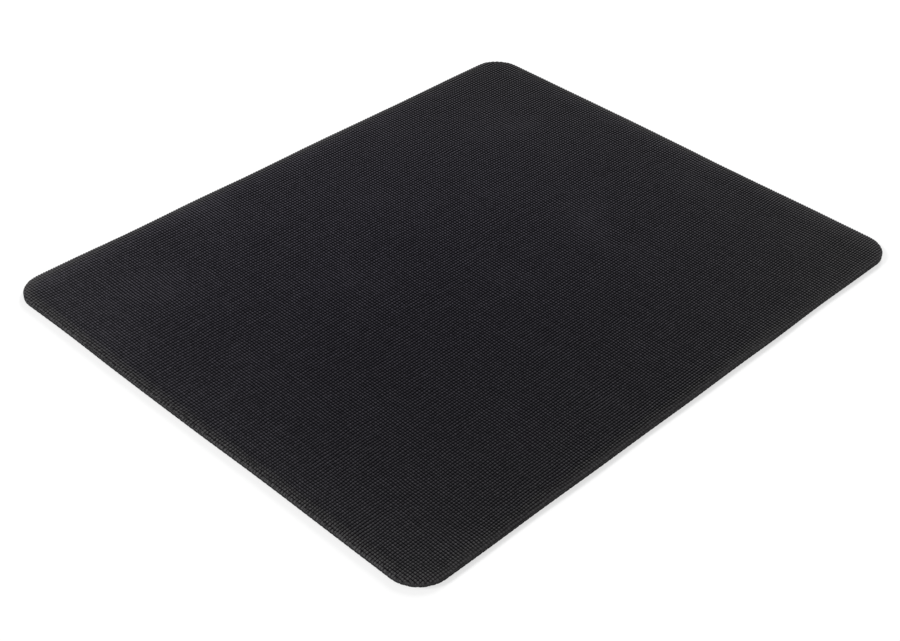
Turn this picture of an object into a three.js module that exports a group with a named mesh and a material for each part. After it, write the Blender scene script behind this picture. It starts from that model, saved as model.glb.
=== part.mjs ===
// Cloth mouse pad: a woven face bonded by a thin hot-melt film to a foam rubber base, all three
// layers die-cut together to a rectangle with round corners. Millimetres, +Z up, the origin on the
// desk under the middle of the pad, +X along the long side.
import * as THREE from "three";

const padLength = 260;
const padWidth = 210;
const cornerRadius = 12;

const baseThickness = 1.5; // foam rubber, away from the edge
const filmThickness = 0.1;
const clothThickness = 0.4;

// The cutting die draws the face down along the edge and squeezes the foam under it.
const rollWidth = 3; // band in which the face rolls down
const rollDrop = 0.45; // how far it has sunk at the cut
const rollSharpness = 2.2; // 1 is a straight slope, higher keeps the turn nearer the cut
const rollSteps = 6;

// Foam bulges under the die and springs back, so its cut wall ends up hollow.
const cutHollow = 0.15;
const cutSteps = 5;

const cornerSteps = 16; // facets in each round corner

// Outline of the pad, moved in by inset: one counter-clockwise loop of points. Every inset gives the
// same number of points, so loops at different insets pair up point by point.
function outline(inset) {
  const radius = cornerRadius - inset;
  const centreX = padLength / 2 - cornerRadius;
  const centreY = padWidth / 2 - cornerRadius;
  const quarter = Math.PI / 2;
  const shape = new THREE.Shape();
  shape.absarc(centreX, centreY, radius, 0, quarter);
  shape.absarc(-centreX, centreY, radius, quarter, 2 * quarter);
  shape.absarc(-centreX, -centreY, radius, 2 * quarter, 3 * quarter);
  shape.absarc(centreX, -centreY, radius, 3 * quarter, 4 * quarter);
  shape.closePath();
  const points = shape.getPoints(cornerSteps / 2);
  points.pop(); // the closing point repeats the first
  return points;
}

// The drawn-down surface that lies at height z in the middle of the pad, from where the roll starts
// out to the cut, as a list of loops.
function rolledSurface(z) {
  const loops = [];
  for (let step = 0; step <= rollSteps; step++) {
    const share = step / rollSteps;
    loops.push({
      inset: rollWidth * (1 - share),
      z: z - rollDrop * share ** rollSharpness,
    });
  }
  return loops;
}

// The foam's cut wall between its drawn-down top edge and the desk, ends left out.
function hollowCut(topEdge) {
  const loops = [];
  for (let step = 1; step < cutSteps; step++) {
    const share = step / cutSteps;
    loops.push({
      inset: cutHollow * Math.sin(Math.PI * share),
      z: topEdge * (1 - share),
    });
  }
  return loops;
}

// Closed solid through a list of loops that starts in the top face, runs out to the cut, down it and
// back in along the underside. The first and last loops are filled as flat faces.
function loftLoops(loops) {
  const rings = loops.map(({ inset }) => outline(inset));
  const count = rings[0].length;
  const position = [];
  rings.forEach((ring, k) => {
    ring.forEach(({ x, y }) => position.push(x, y, loops[k].z));
  });
  const index = [];
  for (let k = 0; k + 1 < rings.length; k++) {
    const inward = loops[k + 1].inset > loops[k].inset;
    for (let i = 0; i < count; i++) {
      const next = (i + 1) % count;
      const a = k * count + i;
      const b = k * count + next;
      const c = (k + 1) * count + next;
      const d = (k + 1) * count + i;
      // The diagonal always runs from the inner loop's point to the outer loop's next one, so the
      // two sides of a bond have the same facets.
      if (inward) index.push(a, d, b, d, c, b);
      else index.push(a, d, c, a, c, b);
    }
  }
  const last = (rings.length - 1) * count;
  THREE.ShapeUtils.triangulateShape(rings[0], []).forEach(([a, b, c]) => index.push(a, b, c));
  THREE.ShapeUtils.triangulateShape(rings.at(-1), []).forEach(([a, b, c]) => {
    index.push(last + a, last + c, last + b);
  });
  const geometry = new THREE.BufferGeometry();
  geometry.setAttribute("position", new THREE.Float32BufferAttribute(position, 3));
  geometry.setIndex(index);
  geometry.computeVertexNormals();
  return geometry;
}

// A bonded layer between two heights: it follows the roll on both faces.
function layer(bottomZ, topZ) {
  return loftLoops([...rolledSurface(topZ), ...rolledSurface(bottomZ).reverse()]);
}

// The base: rolled on top, hollow at the cut, flat where it lies on the desk.
function foamBase() {
  const cutHeight = baseThickness - rollDrop;
  return loftLoops([
    ...rolledSurface(baseThickness),
    ...hollowCut(cutHeight),
    { inset: 0, z: 0 },
  ]);
}

function piece(name, geometry, material) {
  const mesh = new THREE.Mesh(geometry, new THREE.MeshStandardMaterial(material));
  mesh.name = name;
  return mesh;
}

const filmTop = baseThickness + filmThickness;
const faceTop = filmTop + clothThickness;

const mousePad = new THREE.Group();
mousePad.add(
  piece("foam_base", foamBase(), { color: 0x1d1d1f, roughness: 0.95, metalness: 0 }),
  piece("bond_film", layer(baseThickness, filmTop), { color: 0x2c2b2e, roughness: 0.5, metalness: 0 }),
  piece("cloth_face", layer(filmTop, faceTop), { color: 0x232226, roughness: 0.9, metalness: 0 }),
);

export default mousePad;
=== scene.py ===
import math

import bmesh
import bpy
from mathutils import Color, Matrix, Vector, noise


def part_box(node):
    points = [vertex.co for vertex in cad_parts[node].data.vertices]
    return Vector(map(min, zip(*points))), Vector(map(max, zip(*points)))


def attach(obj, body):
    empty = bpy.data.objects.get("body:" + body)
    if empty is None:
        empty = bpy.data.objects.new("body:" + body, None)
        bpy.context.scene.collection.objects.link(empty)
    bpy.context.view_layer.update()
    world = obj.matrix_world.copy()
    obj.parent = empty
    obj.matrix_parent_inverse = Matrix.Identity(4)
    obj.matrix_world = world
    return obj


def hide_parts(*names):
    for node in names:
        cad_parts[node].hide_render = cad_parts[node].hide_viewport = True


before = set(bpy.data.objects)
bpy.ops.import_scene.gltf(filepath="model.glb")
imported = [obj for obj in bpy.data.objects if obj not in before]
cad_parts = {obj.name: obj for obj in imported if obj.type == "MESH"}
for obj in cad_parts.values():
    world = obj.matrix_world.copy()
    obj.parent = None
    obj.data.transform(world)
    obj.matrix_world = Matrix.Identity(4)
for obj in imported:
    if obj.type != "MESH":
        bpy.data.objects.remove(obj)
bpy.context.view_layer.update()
mm = 0.001

baseLow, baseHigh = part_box("foam_base")
clothLow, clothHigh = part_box("cloth_face")
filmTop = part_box("bond_film")[1].z

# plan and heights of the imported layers, shared by all three pieces
pad = {
    "length": baseHigh.x - baseLow.x,
    "width": baseHigh.y - baseLow.y,
    "corner": 12 * mm,
    "cornerSteps": 24,
    "baseTop": baseHigh.z,
    "filmTop": filmTop,
    "clothTop": clothHigh.z,
    "rollWidth": 3 * mm,  # band along the cut that the die drew down
    "rollDrop": filmTop - clothLow.z,
    "rollSharpness": 2.2,  # higher keeps the turn nearer the cut
    "rollSteps": 3,
    "rollWaver": 0.6,  # share by which the draw-down varies along the cut
    "sideStep": 5 * mm,  # spacing of points along the straight sides of plain layers
    "waver": 0.47 * mm,  # how far the cut strays from its line
    "waverSize": 42 * mm,
    "waverSeed": 137.67,
    "layerGap": 0.005 * mm,  # keeps bonded faces from fighting
    "cutSlack": 0.002 * mm,  # a point this near to a cut lies on it
    "weld": 0.02 * mm,  # points nearer than this become one
    "sharpAngle": math.radians(50),  # edges that turn further are shaded sharp
}
cornerX = pad["length"] / 2 - pad["corner"]
cornerY = pad["width"] / 2 - pad["corner"]


# a node socket that can stand in a sum, for shader and geometry trees alike
class Wire:
    def __init__(self, tree, socket=None):
        self.tree = tree
        self.socket = socket

    def node(self, kind, settings=None, inputs=None, output=0):
        made = self.tree.nodes.new(kind)
        for name, value in (settings or {}).items():
            setattr(made, name, value)
        for name, value in (inputs or {}).items():
            if isinstance(value, Wire):
                self.tree.links.new(value.socket, made.inputs[name])
            else:
                made.inputs[name].default_value = value
        return Wire(self.tree, made.outputs[output] if len(made.outputs) else None)

    def of(self, output):  # another output of the same node
        return Wire(self.tree, self.socket.node.outputs[output])

    def into(self, node, socket):
        self.tree.links.new(self.socket, node.inputs[socket])

    def do(self, operation, *others):
        values = dict(enumerate((self, *others)))
        return self.node("ShaderNodeMath", {"operation": operation}, values)

    def swapped(self, operation, other):
        return self.node("ShaderNodeMath", {"operation": operation}, {0: other, 1: self})

    def __add__(self, other):
        return self.do("ADD", other)

    def __radd__(self, other):
        return self.do("ADD", other)

    def __sub__(self, other):
        return self.do("SUBTRACT", other)

    def __rsub__(self, other):
        return self.swapped("SUBTRACT", other)

    def __mul__(self, other):
        return self.do("MULTIPLY", other)

    def __rmul__(self, other):
        return self.do("MULTIPLY", other)

    def __truediv__(self, other):
        return self.do("DIVIDE", other)

    def __rtruediv__(self, other):
        return self.swapped("DIVIDE", other)

    def __pow__(self, other):
        return self.do("POWER", other)

    def clamped(self):
        return self.node("ShaderNodeClamp", None, {"Value": self})


def between(a, b, share):  # plain mix of two values
    return a + (b - a) * share


def paint(*levels):  # 8-bit screen colour as the linear one that shaders take
    return (*Color([level / 255 for level in levels]).from_srgb_to_scene_linear(), 1)


def blendPaint(start, low, high, share):  # 6, 7 and 2 are the colour sockets of the mix node
    return start.node("ShaderNodeMix", {"data_type": "RGBA"}, {0: share, 6: low, 7: high}, output=2)


# Plan of the pad


def edgeAt(x, y):  # how far in from the cut a point lies, and which way is out there
    overX = abs(x) - cornerX
    overY = abs(y) - cornerY
    side = Vector((math.copysign(1, x), math.copysign(1, y)))
    if overX > 0 and overY > 0:
        reach = math.hypot(overX, overY)
        return pad["corner"] - reach, Vector((side.x * overX, side.y * overY)) / reach
    if overX > overY:
        return pad["corner"] - overX, Vector((side.x, 0))
    return pad["corner"] - overY, Vector((0, side.y))


def rollAt(depth):  # how far the die has drawn a point down
    share = min(max(1 - depth / pad["rollWidth"], 0), 1)
    return pad["rollDrop"] * share ** pad["rollSharpness"]


def cornerPoints(sideX, sideY):
    centre = Vector((sideX * cornerX, sideY * cornerY, 0))
    points = []
    for step in range(pad["cornerSteps"] + 1):
        turn = math.pi / 2 * step / pad["cornerSteps"]
        out = Vector((sideX * math.cos(turn), sideY * math.sin(turn), 0))
        points.append(centre + pad["corner"] * out)
    return centre, points


def cutAway(bm, faces, point, normal):  # what is left of the faces on the inner side of a plane
    part = [*faces, *{e for f in faces for e in f.edges}, *{v for f in faces for v in f.verts}]
    done = bmesh.ops.bisect_plane(
        bm, geom=part, dist=pad["cutSlack"], plane_co=point, plane_no=normal, clear_outer=True
    )
    return [g for g in done["geom"] if g.is_valid and isinstance(g, bmesh.types.BMFace)]


def cutToOutline(bm):
    left = list(bm.faces)
    for out in ((1, 0, 0), (-1, 0, 0), (0, 1, 0), (0, -1, 0)):
        side = Vector(out)
        reach = pad["length"] / 2 if side.x else pad["width"] / 2
        left = cutAway(bm, left, side * reach, side)
    for sideX, sideY in ((1, 1), (-1, 1), (-1, -1), (1, -1)):
        centre, points = cornerPoints(sideX, sideY)
        left = [
            f for f in bm.faces
            if any(v.co.x * sideX > cornerX and v.co.y * sideY > cornerY for v in f.verts)
        ]
        for first, second in zip(points, points[1:]):
            left = cutAway(bm, left, first, ((first + second) / 2 - centre).normalized())
    bmesh.ops.remove_doubles(bm, verts=bm.verts, dist=pad["weld"])


def openRim(bm):  # the vertices along the cut, in order round the pad
    return sorted((v for v in bm.verts if v.is_boundary), key=lambda v: math.atan2(v.co.y, v.co.x))


def outlineRim():  # the same line as plain points, for layers with no relief
    turns = []
    for sideX, sideY in ((1, 1), (-1, 1), (-1, -1), (1, -1)):
        points = cornerPoints(sideX, sideY)[1]
        turns += points if sideX * sideY > 0 else points[::-1]
    rim = []
    for point, after in zip(turns, turns[1:] + turns[:1]):
        count = math.ceil((after - point).length / pad["sideStep"])
        rim += [point.lerp(after, step / count) for step in range(count)]
    return rim


def addRings(bm, rim, last, rings):  # skins (inset, height) rings one after another and caps the last
    places = [(p.copy(), edgeAt(p.x, p.y)[1]) for p in rim]
    strips = []
    for inset, height in rings:
        ring = [bm.verts.new((p.x - out.x * inset, p.y - out.y * inset, height)) for p, out in places]
        if last:
            strips.append([
                bm.faces.new((last[k - 1], last[k], ring[k], ring[k - 1])) for k in range(len(ring))
            ])
        else:
            strips.append([bm.faces.new(ring)])
        last = ring
    strips.append([bm.faces.new(last)])
    bmesh.ops.recalc_face_normals(bm, faces=bm.faces)
    return strips


# the shown face fills the square, the cut folds out round it, hidden faces share a spare corner
bakeMap = {
    "fill": 0.97,
    "middle": 0.5,
    "shownUp": 0.4,
    "hiddenShare": 0.2,
    "hiddenUp": 0.9,
}


def addBakeMap(bm, rim, strips, wallCount, level):
    layer = bm.loops.layers.uv.new("OFBake")
    scale = bakeMap["fill"] / pad["length"]
    fixed = set(rim)
    wall = {f for strip in strips[:wallCount] for f in strip}
    hidden = {f for strip in strips[wallCount:] for f in strip}
    for f in bm.faces:
        for loop in f.loops:
            spot = loop.vert.co.xy
            if f in hidden:
                spot = spot * (scale * bakeMap["hiddenShare"])
                loop[layer].uv = (spot.x + bakeMap["middle"], spot.y + bakeMap["hiddenUp"])
                continue
            if f in wall and loop.vert not in fixed:
                spot = spot + edgeAt(spot.x, spot.y)[1] * abs(loop.vert.co.z - level)
            spot = spot * scale
            loop[layer].uv = (spot.x + bakeMap["middle"], spot.y + bakeMap["shownUp"])


def rollRings(height):  # insets that follow the roll, from the cut inwards
    count = pad["rollSteps"]
    return [(pad["rollWidth"] * step / count, height) for step in range(count + 1)]


def settle(bm, low, high):  # draws the layers down along the cut; what lies at low stays there
    for v in bm.verts:
        depth, out = edgeAt(v.co.x, v.co.y)
        share = min(max((v.co.z - low) / (high - low), 0), 1)
        spot = Vector((v.co.x, v.co.y, 0)) / pad["waverSize"]
        v.co.z -= rollAt(depth) * share * (1 + pad["rollWaver"] * noise.noise(spot))
        fade = max(1 - depth / pad["corner"], 0)
        strayed = noise.noise(spot + Vector((0, 0, pad["waverSeed"])))
        v.co.xy -= out * (pad["waver"] * fade * strayed)


# Relief fields: threads of the cloth and studs of the underside come from one tree

relief = {
    "pitWeld": 0.001 * mm,  # joins the corners of a cell that shrank to a point
    "wanderLift": 0.1,  # share of the wander that goes up and down
}


def reliefTree(name, material):
    tree = bpy.data.node_groups.new(name, "GeometryNodeTree")
    sockets = {
        "Length": "NodeSocketFloat", "Width": "NodeSocketFloat", "Columns": "NodeSocketInt",
        "Rows": "NodeSocketInt", "Height": "NodeSocketFloat", "Rise": "NodeSocketFloat",
        "Shrink": "NodeSocketFloat", "Wander": "NodeSocketFloat", "Wander Size": "NodeSocketFloat",
        "Seed": "NodeSocketFloat",
    }
    for socket, kind in sockets.items():
        tree.interface.new_socket(name=socket, in_out="INPUT", socket_type=kind)
    tree.interface.new_socket(name="Geometry", in_out="OUTPUT", socket_type="NodeSocketGeometry")
    start = Wire(tree)
    given = start.node("NodeGroupInput")
    grid = start.node("GeometryNodeMeshGrid", None, {
        "Size X": given.of("Length"), "Size Y": given.of("Width"),
        "Vertices X": given.of("Columns"), "Vertices Y": given.of("Rows"),
    })
    # every cell grows its own top, which shrinks to a stud, or to one point at a pit between threads
    cells = start.node("GeometryNodeExtrudeMesh", {"mode": "FACES"}, {
        "Mesh": grid, "Offset Scale": 0.0, "Individual": True,
    })
    shrunk = start.node("GeometryNodeScaleElements", {"domain": "FACE"}, {
        "Geometry": cells, "Selection": cells.of("Top"), "Scale": given.of("Shrink"),
    })
    rise = start.node("ShaderNodeCombineXYZ", None, {"Z": given.of("Rise")})
    raised = start.node("GeometryNodeSetPosition", None, {
        "Geometry": shrunk, "Selection": cells.of("Top"), "Offset": rise,
    })
    merged = start.node("GeometryNodeMergeByDistance", None, {
        "Geometry": raised, "Distance": relief["pitWeld"],
    })
    # no weave is quite even: every point wanders a little about its place
    place = start.node("GeometryNodeInputPosition")
    drift = start.node("ShaderNodeTexNoise", {"noise_dimensions": "4D"}, {
        "Vector": place, "W": given.of("Seed"), "Scale": 1 / given.of("Wander Size"), "Detail": 1.0,
    }, output="Color")
    centred = start.node("ShaderNodeVectorMath", {"operation": "SUBTRACT"}, {0: drift, 1: (0.5, 0.5, 0.5)})
    span = start.node("ShaderNodeCombineXYZ", None, {
        "X": given.of("Wander"), "Y": given.of("Wander"),
        "Z": given.of("Wander") * relief["wanderLift"],
    })
    wander = start.node("ShaderNodeVectorMath", {"operation": "MULTIPLY"}, {0: centred, 1: span})
    lift = start.node("ShaderNodeCombineXYZ", None, {"Z": given.of("Height")})
    offset = start.node("ShaderNodeVectorMath", {"operation": "ADD"}, {0: wander, 1: lift})
    placed = start.node("GeometryNodeSetPosition", None, {"Geometry": merged, "Offset": offset})
    real = start.node("GeometryNodeRealizeInstances", None, {"Geometry": placed})
    dressed = start.node("GeometryNodeSetMaterial", None, {"Geometry": real, "Material": material})
    start.node("NodeGroupOutput", None, {"Geometry": dressed})
    return tree


def growMesh(name, tree, values):  # runs a tree on an empty mesh and keeps the plain result
    host = bpy.data.objects.new(name, bpy.data.meshes.new(name))
    bpy.context.scene.collection.objects.link(host)
    modifier = host.modifiers.new(name, "NODES")
    modifier.node_group = tree
    for item in tree.interface.items_tree:
        if item.in_out == "INPUT" and item.name in values:
            modifier[item.identifier] = values[item.name]
    depsgraph = bpy.context.evaluated_depsgraph_get()
    mesh = bpy.data.meshes.new_from_object(host.evaluated_get(depsgraph), depsgraph=depsgraph)
    host.modifiers.clear()
    bpy.data.objects.remove(host)
    return mesh


def addPiece(name, bm, material):
    mesh = bpy.data.meshes.new(name)
    bm.to_mesh(mesh)
    bm.free()
    mesh.materials.clear()
    mesh.materials.append(material)
    mesh.shade_smooth()
    mesh.set_sharp_from_angle(angle=pad["sharpAngle"])
    piece = bpy.data.objects.new(name, mesh)
    bpy.context.scene.collection.objects.link(piece)
    mesh.calc_loop_triangles()
    print(f"{name}: {len(mesh.loop_triangles)} triangles")
    return piece


def newMaterial(name, constants):
    material = bpy.data.materials.new(name)
    material.use_nodes = True
    shader = material.node_tree.nodes["Principled BSDF"]
    for socket, value in constants.items():
        shader.inputs[socket].default_value = value
    return material, shader, Wire(material.node_tree)


# Woven cloth face

weave = {
    "pitch": 1.26 * mm,
    "stretch": 0.16,  # share by which the threads close up at front and left and part at back and right
    "wander": 1.2 * mm,
    "wanderSize": 9 * mm,
    "wanderSeed": 3.0,
    "margin": 3,  # threads woven beyond the cut on every side
    "pitDepth": 0.3 * mm,
    "flattened": 0.7,  # share of a pit's depth that is lost at the front cut
    # single threads
    "crownNarrow": 2.1,  # at 2 the threads would touch
    "archDepth": 0.75,  # how far a thread dives between two crossings
    "threadCrown": 0.06 * mm,
    "filaments": 6,  # seen side by side across one thread
    "filamentTone": 0.15,
    "filamentRelief": 0.15,
    "sheen": 0.004,
    "pitRoughness": 0.95,
    "crownRoughness": 0.75,
    "sharpness": 4.4,  # how narrow the lit crown of a thread is
    "sharpnessX": 4.0,  # gained from the left side to the right
    "sharpnessY": 2.2,  # gained from the front to the back
    "sharpnessXY": 5.0,  # more at the front left and back right corners, less at the other two
    "sharpnessTone": 0.65,  # makes up for the light that narrow crowns lose
    "weftShare": 0.49,  # which of the two sets of threads stands out
    "weftMottle": 1.5,
    "weftY": 0.2,
    # bands along the cut
    "cutSheenBand": 5 * mm,  # painted sheen, lighter towards the cut
    "frayBand": 3.4 * mm,  # loose filaments along the left side
    "flatBand": 3.1 * mm,  # threads pressed flat along the front side
    "narrowBand": 2.5 * mm,  # the same along the back and the right
    "sheenFarBand": 10 * mm,  # painted sheen, lighter still along the back and the right
    "sheenLeftBand": 30 * mm,  # painted sheen, lighter towards the left
    # painted highlight along the top edge of the cut
    "rimHighlightBand": 1.2 * mm,
    # tone
    # pits painted nearly black, as shade between the threads; the thread colour carries the crowns'
    # painted glint
    "pitShadeColour": paint(3, 3, 5),
    "threadGlintColour": paint(68, 66, 74),
    # paler colour of the painted sheen near the cut and corners
    "sheenPaleColour": paint(73, 72, 73),
    "mottleScale": 25.0,
    "uneven": 0.6,  # the least a thread shows, before these three are added
    "unevenCrossing": 0.35,
    "unevenThread": 0.2,
    "unevenMottle": 0.4,
    "paintedSheen": 0.925,  # painted sheen in the middle of the pad; the next five add more towards the cut and corners, the left, the right and the back
    "paintedSheenReach": 0.29,
    "paintedSheenLeft": 0.22,
    "paintedSheenX": 0.44,
    "paintedSheenY": 0.5,
    "paintedSheenXY": 0.35,
    "fluffScale": 1150.0,
    "fluffLength": 0.75,  # below 1 the flecks lie across the left cut
    "fleckLevel": 0.45,
    "fleckContrast": 9.0,
    "pressedTone": 0.2,
    "pressedFlecks": 0.22,
    "pressedShare": 0.6,
    "frayedTone": 0.35,
    "frayedFlecks": 0.15,
    "cutSheenGain": 0.5,
    "sheenFarGain": 0.9,
    "rimHighlightTone": 0.15,
    "fade": 0.1,  # how far the colour has gone from fresh to the paler colour of the painted sheen
    "sheenReach": 0.4,
    "fadeX": 0.25,
    "fadeY": -0.5,
}
weave["columns"] = round(pad["length"] / weave["pitch"])
weave["rows"] = round(pad["width"] / weave["pitch"])
weave["pitchX"] = pad["length"] / weave["columns"]
weave["pitchY"] = pad["width"] / weave["rows"]


def stretched(spot, half):  # where a place on evenly woven cloth comes to lie on the pad
    return spot + weave["stretch"] * (spot * spot - half * half) / (2 * half)


def unstretched(spot, half):  # the way back, for a shading point
    stretch = weave["stretch"]
    return ((spot * (2 * stretch / half) + (1 + stretch * stretch)).do("SQRT") - 1) * (half / stretch)


def cutDistance(x, y):  # how far in from the cut a shading point lies
    overX = (x.do("ABSOLUTE") - cornerX).do("MAXIMUM", 0)
    overY = (y.do("ABSOLUTE") - cornerY).do("MAXIMUM", 0)
    return pad["corner"] - (overX * overX + overY * overY).do("SQRT")


def clothMaterial():
    material, shader, start = newMaterial("woven polyester", {"Specular IOR Level": weave["sheen"]})
    place = start.node("ShaderNodeTexCoord", output="Object")
    x = start.node("ShaderNodeSeparateXYZ", None, {0: place})
    y = x.of("Y")
    shareX = x / pad["length"]  # from -0.5 at the left to 0.5 at the right
    shareY = y / pad["width"]  # from -0.5 at the front to 0.5 at the back
    fromLeft = x + pad["length"] / 2
    fromRight = pad["length"] / 2 - x
    fromFront = y + pad["width"] / 2
    fromBack = pad["width"] / 2 - y

    # back to the even lattice, whole numbers at the crossings, by undoing the stretch and the wander
    evenX = unstretched(x, pad["length"] / 2)
    evenY = unstretched(y, pad["width"] / 2)
    drift = start.node("ShaderNodeTexNoise", {"noise_dimensions": "4D"}, {
        "Vector": start.node("ShaderNodeCombineXYZ", None, {"X": evenX, "Y": evenY}),
        "W": weave["wanderSeed"], "Scale": 1 / weave["wanderSize"], "Detail": 1.0,
    }, output="Color")
    driftX = start.node("ShaderNodeSeparateXYZ", None, {0: drift})
    driftY = driftX.of("Y")
    straightX = evenX - (driftX - 0.5) * weave["wander"]
    straightY = evenY - (driftY - 0.5) * weave["wander"]
    alongX = straightX / weave["pitchX"] + (weave["columns"] - 1) / 2
    alongY = straightY / weave["pitchY"] + (weave["rows"] - 1) / 2
    column = alongX.do("ROUND")
    row = alongY.do("ROUND")
    offX = alongX - column
    offY = alongY - row

    # one thread over, one under; filaments run along each, and no two crossings are quite alike
    weftOver = (column + row).do("FLOORED_MODULO", 2)
    across = between(offX, offY, weftOver)
    along = between(offY, offX, weftOver)
    crown = (1 - (across * weave["crownNarrow"]) ** 2).do("MAXIMUM", 0).do("SQRT")
    arch = 1 - (along * 2) ** 2 * weave["archDepth"]
    height = crown * arch
    strand = (across * (2 * math.pi * weave["filaments"])).do("SINE") * 0.5 + 0.5
    crossing = start.node("ShaderNodeTexWhiteNoise", {"noise_dimensions": "2D"}, {
        "Vector": start.node("ShaderNodeCombineXYZ", None, {"X": column, "Y": row}),
    })
    thread = start.node("ShaderNodeTexWhiteNoise", {"noise_dimensions": "2D"}, {
        "Vector": start.node("ShaderNodeCombineXYZ", None, {
            "X": between(column, row, weftOver), "Y": weftOver + 0.5,
        }),
    })
    mottle = start.node("ShaderNodeTexNoise", None, {
        "Vector": place, "Scale": weave["mottleScale"], "Detail": 4.0,
    })

    # wear: pressed flat along three sides, frayed along the fourth; painted sheen towards the cut and
    # along the back and right, and a painted highlight on the cut's top edge
    inset = cutDistance(x, y)
    # painted sheen towards the cut
    cutSheen = (1 - inset / weave["cutSheenBand"]).clamped()
    # painted highlight on the cut's top edge
    rimHighlight = (1 - inset / weave["rimHighlightBand"]).clamped()
    front = (1 - fromFront / (weave["flatBand"] * (0.5 + mottle))).clamped()
    back = (1 - fromBack / weave["narrowBand"]).clamped()
    right = (1 - fromRight / weave["narrowBand"]).clamped()
    pressed = front.do("MAXIMUM", back).do("MAXIMUM", right)
    # painted sheen along the back and the right
    far = (1 - fromBack.do("MINIMUM", fromRight) / weave["sheenFarBand"]).clamped()
    # painted sheen towards the left
    left = (1 - fromLeft / weave["sheenLeftBand"]).clamped()
    frayed = (1 - inset / (weave["frayBand"] * (0.5 + mottle))).clamped()
    frayed = frayed * (1 - fromLeft / pad["corner"]).clamped() * (1 - pressed)
    fluff = start.node("ShaderNodeTexNoise", None, {
        "Vector": start.node("ShaderNodeCombineXYZ", None, {"X": x * weave["fluffLength"], "Y": y}),
        "Scale": weave["fluffScale"], "Detail": 1.0,
    })
    flecks = ((fluff - weave["fleckLevel"]) * weave["fleckContrast"]).clamped()
    reach = (shareX * 2) ** 2 + (shareY * 2) ** 2

    # one set of threads stands out here, the other there, and all are softer towards front and left
    weft = (weave["weftShare"] + (mottle - 0.5) * weave["weftMottle"] + shareY * weave["weftY"]).clamped()
    sharp = shareX * weave["sharpnessX"] + shareY * weave["sharpnessY"]
    sharp = sharp + shareX * shareY * weave["sharpnessXY"] + weave["sharpness"]
    ridges = (1 - (offX * 2) ** 2) ** (sharp * weft) * (1 - (offY * 2) ** 2) ** (sharp * (1 - weft))
    uneven = weave["uneven"] + crossing * weave["unevenCrossing"] + thread * weave["unevenThread"]
    uneven = uneven + mottle * weave["unevenMottle"]
    # painted sheen: lighter towards the cut and corners, the left, the right and the back
    paintedSheen = weave["paintedSheen"] + reach * weave["paintedSheenReach"] + left * weave["paintedSheenLeft"]
    paintedSheen = paintedSheen + shareX * weave["paintedSheenX"] + shareY * weave["paintedSheenY"]
    paintedSheen = paintedSheen + shareX * shareY * weave["paintedSheenXY"]
    strandTone = 1 - weave["filamentTone"] + strand * weave["filamentTone"]
    # lit crowns and dark pits: painted glints on the threads and painted shade between them
    tone = ridges * strandTone * uneven * paintedSheen * (sharp / weave["sharpness"]) ** weave["sharpnessTone"]
    flat = weave["pressedTone"] + flecks * weave["pressedFlecks"]
    tone = between(tone, flat, pressed * weave["pressedShare"])
    loose = tone * (weave["frayedTone"] + flecks) + flecks * weave["frayedFlecks"]
    tone = between(tone, loose, frayed)
    # painted sheen and a painted highlight lift the tone
    tone = tone * (1 + cutSheen * weave["cutSheenGain"] + far * weave["sheenFarGain"]) + rimHighlight * weave["rimHighlightTone"]

    fresh = blendPaint(start, weave["pitShadeColour"], weave["threadGlintColour"], tone)
    # towards the paler colour of the painted sheen near the cut and corners, with a drift across the pad
    paledBySheen = blendPaint(start, weave["pitShadeColour"], weave["sheenPaleColour"], tone)
    fade = cutSheen + reach * weave["sheenReach"] + weave["fade"]
    fade = fade + (x * weave["fadeX"] + y * weave["fadeY"]) / pad["length"]
    blendPaint(start, fresh, paledBySheen, fade.clamped()).into(shader, "Base Color")
    between(weave["pitRoughness"], weave["crownRoughness"], height).into(shader, "Roughness")
    bump = start.node("ShaderNodeBump", None, {
        "Strength": 1.0, "Distance": weave["threadCrown"],
        "Height": height + strand * weave["filamentRelief"],
    })
    bump.into(shader, "Normal")
    return material


def buildCloth():
    material = clothMaterial()
    tree = reliefTree("woven threads", material)
    beyond = 2 * weave["margin"] - 1
    mesh = growMesh("weave", tree, {
        "Length": pad["length"] + weave["pitchX"] * beyond,
        "Width": pad["width"] + weave["pitchY"] * beyond,
        "Columns": weave["columns"] + beyond + 1, "Rows": weave["rows"] + beyond + 1,
        "Height": pad["clothTop"], "Rise": -weave["pitDepth"], "Shrink": 0.0,
        "Wander": weave["wander"], "Wander Size": weave["wanderSize"], "Seed": weave["wanderSeed"],
    })
    bm = bmesh.new()
    bm.from_mesh(mesh)
    for v in bm.verts:  # stretches the even lattice, then presses the threads flat along the front
        v.co.x = stretched(v.co.x, pad["length"] / 2)
        v.co.y = stretched(v.co.y, pad["width"] / 2)
        pressed = min(max(1 - (v.co.y + pad["width"] / 2) / weave["flatBand"], 0), 1)
        v.co.z += (pad["clothTop"] - v.co.z) * pressed * weave["flattened"]
    cutToOutline(bm)
    rim = openRim(bm)
    strips = addRings(bm, [v.co for v in rim], rim, rollRings(pad["filmTop"] + pad["layerGap"]))
    addBakeMap(bm, rim, strips, 1, pad["clothTop"])
    settle(bm, -1, 0)  # the whole layer sinks alike
    return addPiece("woven_face", bm, material)


# Hot-melt film, seen as a line at the cut

film = {
    "gloss": 0.4,
    "thinColour": paint(22, 22, 24),
    "thickColour": paint(44, 43, 46),
    "cloudScale": 900.0,
    "roughness": 0.35,
    "roughnessGain": 0.3,
}


def filmMaterial():
    material, shader, start = newMaterial("hot-melt film", {"Specular IOR Level": film["gloss"]})
    place = start.node("ShaderNodeTexCoord", output="Object")
    cloud = start.node("ShaderNodeTexNoise", None, {
        "Vector": place, "Scale": film["cloudScale"], "Detail": 3.0,
    })
    blendPaint(start, film["thinColour"], film["thickColour"], cloud).into(shader, "Base Color")
    (film["roughness"] + cloud * film["roughnessGain"]).into(shader, "Roughness")
    return material


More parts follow.
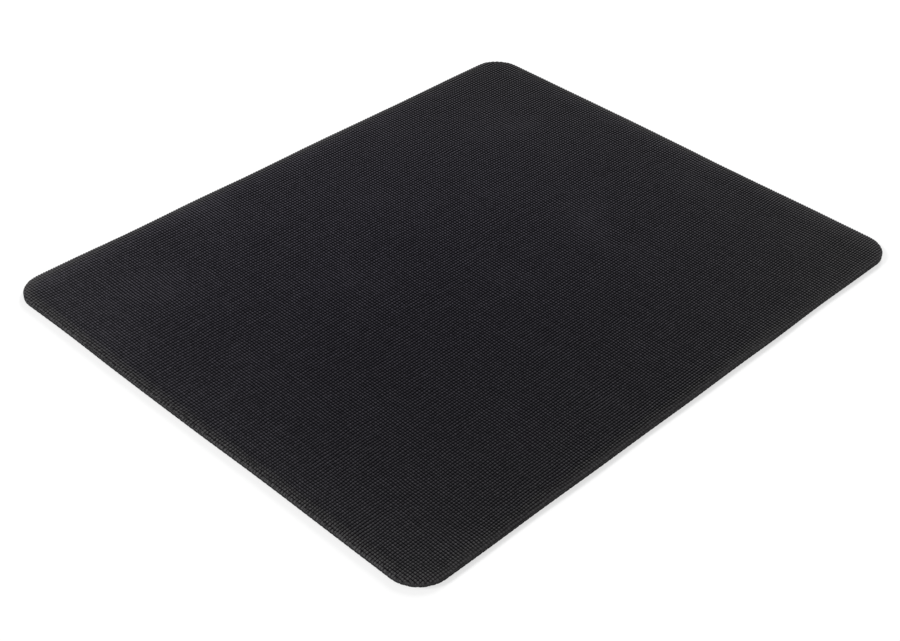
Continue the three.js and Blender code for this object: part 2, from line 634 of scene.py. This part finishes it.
def buildFilm():
    bm = bmesh.new()
    upper = rollRings(pad["filmTop"])[::-1]
    lower = rollRings(pad["baseTop"] + pad["layerGap"])
    addRings(bm, outlineRim(), None, upper + lower)
    settle(bm, -1, 0)  # the whole layer sinks alike
    return addPiece("bond_line", bm, filmMaterial())


# Foam rubber base with its moulded underside

foam = {
    "studPitch": 2.4 * mm,
    "grooveDepth": 0.2 * mm,
    "studShare": 0.66,
    "cutHollow": 0.15 * mm,
    "cutSteps": 6,
    "gloss": 0.1,
    "cellScale": 6000.0,
    "cloudScale": 70.0,
    "grainScale": 2500.0,
    "skinTop": 0.21 * mm,  # up to here the mould's skin shows
    "cellsFrom": 0.285 * mm,  # and from here up the cut cells
    "cellColour": paint(17, 17, 18),
    "ribColour": paint(46, 46, 47),
    "frontWallColour": paint(58, 57, 58),
    "frontWallShare": 0.8,  # share at the front cut
    "skinColour": paint(22, 22, 23),
    "rubbedColour": paint(50, 50, 51),
    "rubbed": 0.4,
    "rubbedCloud": 0.6,
    "grain": 0.7,
    "grainGain": 0.5,
    "skinRoughness": 0.62,
    "cloudRoughness": 0.25,
    "cellRoughness": 0.95,
    "grainRelief": 0.5,
    "reliefStrength": 0.6,
    "reliefDepth": 0.05 * mm,
}


def foamMaterial():
    material, shader, start = newMaterial("foam rubber", {"Specular IOR Level": foam["gloss"]})
    place = start.node("ShaderNodeTexCoord", output="Object")
    y = start.node("ShaderNodeSeparateXYZ", None, {0: place}, output="Y")
    z = y.of("Z")
    cells = start.node("ShaderNodeTexVoronoi", None, {"Vector": place, "Scale": foam["cellScale"]})
    cloud = start.node("ShaderNodeTexNoise", None, {
        "Vector": place, "Scale": foam["cloudScale"], "Detail": 4.0,
    })
    grain = start.node("ShaderNodeTexNoise", None, {
        "Vector": place, "Scale": foam["grainScale"], "Detail": 2.0,
    })
    # cut cells show on the wall, lighter towards the front; below, a moulded skin is rubbed on the studs
    wall = ((z - foam["skinTop"]) / (foam["cellsFrom"] - foam["skinTop"])).clamped()
    front = (1 - (y + pad["width"] / 2) / pad["corner"]).clamped()
    opened = blendPaint(start, foam["cellColour"], foam["ribColour"], cells)
    opened = blendPaint(start, opened, foam["frontWallColour"], front * foam["frontWallShare"])
    stud = 1 - (z / foam["grooveDepth"]).clamped()
    rubbed = stud * (foam["rubbed"] + cloud * foam["rubbedCloud"])
    rubbed = rubbed * (foam["grain"] + grain * foam["grainGain"])
    skin = blendPaint(start, foam["skinColour"], foam["rubbedColour"], rubbed)
    blendPaint(start, skin, opened, wall).into(shader, "Base Color")
    skinRoughness = foam["skinRoughness"] + cloud * foam["cloudRoughness"]
    between(skinRoughness, foam["cellRoughness"], wall).into(shader, "Roughness")
    bump = start.node("ShaderNodeBump", None, {
        "Strength": foam["reliefStrength"], "Distance": foam["reliefDepth"],
        "Height": between(grain * foam["grainRelief"], cells, wall),
    })
    bump.into(shader, "Normal")
    return material


def cutRings():  # the hollow cut wall from the desk up to the drawn-down top edge
    rings = []
    for step in range(1, foam["cutSteps"]):
        share = step / foam["cutSteps"]
        rings.append((foam["cutHollow"] * math.sin(math.pi * share), pad["baseTop"] * share))
    return rings


def buildFoam():
    material = foamMaterial()
    tree = reliefTree("grip studs", material)
    columns = round(pad["length"] / foam["studPitch"])
    rows = round(pad["width"] / foam["studPitch"])
    pitchX = pad["length"] / columns
    pitchY = pad["width"] / rows
    mesh = growMesh("studs", tree, {
        "Length": pad["length"] + pitchX, "Width": pad["width"] + pitchY,
        "Columns": columns + 2, "Rows": rows + 2,
        "Height": foam["grooveDepth"], "Rise": -foam["grooveDepth"], "Shrink": foam["studShare"],
        "Wander": 0.0, "Wander Size": foam["studPitch"],  # moulded, so nothing wanders
    })
    bm = bmesh.new()
    bm.from_mesh(mesh)
    cutToOutline(bm)
    rim = openRim(bm)
    strips = addRings(bm, [v.co for v in rim], rim, cutRings() + rollRings(pad["baseTop"]))
    addBakeMap(bm, rim, strips, foam["cutSteps"], 0)
    settle(bm, foam["grooveDepth"], pad["baseTop"])
    return addPiece("foam_pad", bm, material)


# Studio

view = {
    "azimuth": -47.155,
    "elevation": 37.517,
    "distance": 591.888 * mm,
    "aim": Vector((-26.039, -17.043, 0)) * mm,
    "roll": 2.263,
    "lens": 65.589,
    "sensor": 36,
}


def towards(azimuth, elevation):
    turn = math.radians(azimuth)
    tilt = math.radians(elevation)
    return Vector((math.sin(turn) * math.cos(tilt), -math.cos(turn) * math.cos(tilt), math.sin(tilt)))


def addCamera():
    turn = math.radians(view["azimuth"])
    back = towards(view["azimuth"], view["elevation"])
    right = Vector((math.cos(turn), math.sin(turn), 0))
    axes = Matrix((right, back.cross(right), back)).transposed().to_4x4()
    lean = Matrix.Rotation(math.radians(view["roll"]), 4, "Z")
    data = bpy.data.cameras.new("camera")
    data.lens = view["lens"]
    data.sensor_width = view["sensor"]
    camera = bpy.data.objects.new("camera", data)
    camera.matrix_world = Matrix.Translation(view["aim"] + back * view["distance"]) @ axes @ lean
    bpy.context.scene.collection.objects.link(camera)
    bpy.context.scene.camera = camera


studio = {
    "sky": 0.38,
    "white": (1, 1, 1, 1),
    "lights": {  # power, size, azimuth, elevation
        "back": (97.0, 1.0, -143, 34),
        "side": (185.0, 1.2, 118, 20),
        "fill": (80.0, 1.0, -100, 8),
    },
    "lightDistance": 4.0,
    "floorSize": 6.0,
    "floorGap": 0.02 * mm,
    "floorColour": (0.99, 0.99, 0.99, 1),
    "floorGlow": 0.62,
}


def seenDirectly(start):
    path = start.node("ShaderNodeLightPath", output="Is Camera Ray")
    return path.do("MAXIMUM", path.of("Is Glossy Ray")).do("MAXIMUM", path.of("Is Transmission Ray"))


def addFloor():
    material = bpy.data.materials.new("white floor")
    material.use_nodes = True
    tree = material.node_tree
    tree.nodes.clear()
    start = Wire(tree)
    lit = start.node("ShaderNodeBsdfDiffuse", None, {"Color": studio["floorColour"]})
    glow = start.node("ShaderNodeEmission", None, {"Color": studio["white"], "Strength": 1.0})
    share = seenDirectly(start) * studio["floorGlow"]
    mix = start.node("ShaderNodeMixShader", None, {0: share, 1: lit, 2: glow})
    start.node("ShaderNodeOutputMaterial", None, {"Surface": mix})
    half = studio["floorSize"] / 2
    low = -studio["floorGap"]
    mesh = bpy.data.meshes.new("floor")
    corners = [(-half, -half, low), (half, -half, low), (half, half, low), (-half, half, low)]
    mesh.from_pydata(corners, [], [(0, 1, 2, 3)])
    mesh.materials.append(material)
    floor = bpy.data.objects.new("floor", mesh)
    bpy.context.scene.collection.objects.link(floor)


def addLight():
    world = bpy.data.worlds.new("studio")
    world.use_nodes = True
    start = Wire(world.node_tree)
    level = between(studio["sky"], 1, seenDirectly(start))
    background = world.node_tree.nodes["Background"]
    background.inputs["Color"].default_value = studio["white"]
    level.into(background, "Strength")
    bpy.context.scene.world = world
    for name, (power, size, azimuth, elevation) in studio["lights"].items():
        data = bpy.data.lights.new(name, "AREA")
        data.energy = power
        data.size = size
        lamp = bpy.data.objects.new(name, data)
        away = towards(azimuth, elevation)
        turned = away.to_track_quat("Z", "Y").to_matrix().to_4x4()
        lamp.matrix_world = Matrix.Translation(away * studio["lightDistance"]) @ turned
        bpy.context.scene.collection.objects.link(lamp)


bpy.context.scene.view_settings.view_transform = "Standard"
addCamera()
addFloor()
addLight()
print("studio ready")

wovenFace = buildCloth()
bondLine = buildFilm()
foamPad = buildFoam()

for piece, node, slot in (
    (wovenFace, "cloth_face", "woven_cloth"),
    (bondLine, "bond_film", "hot_melt_film"),
    (foamPad, "foam_base", "foam_rubber"),
):
    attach(piece, "root")
    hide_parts(node)
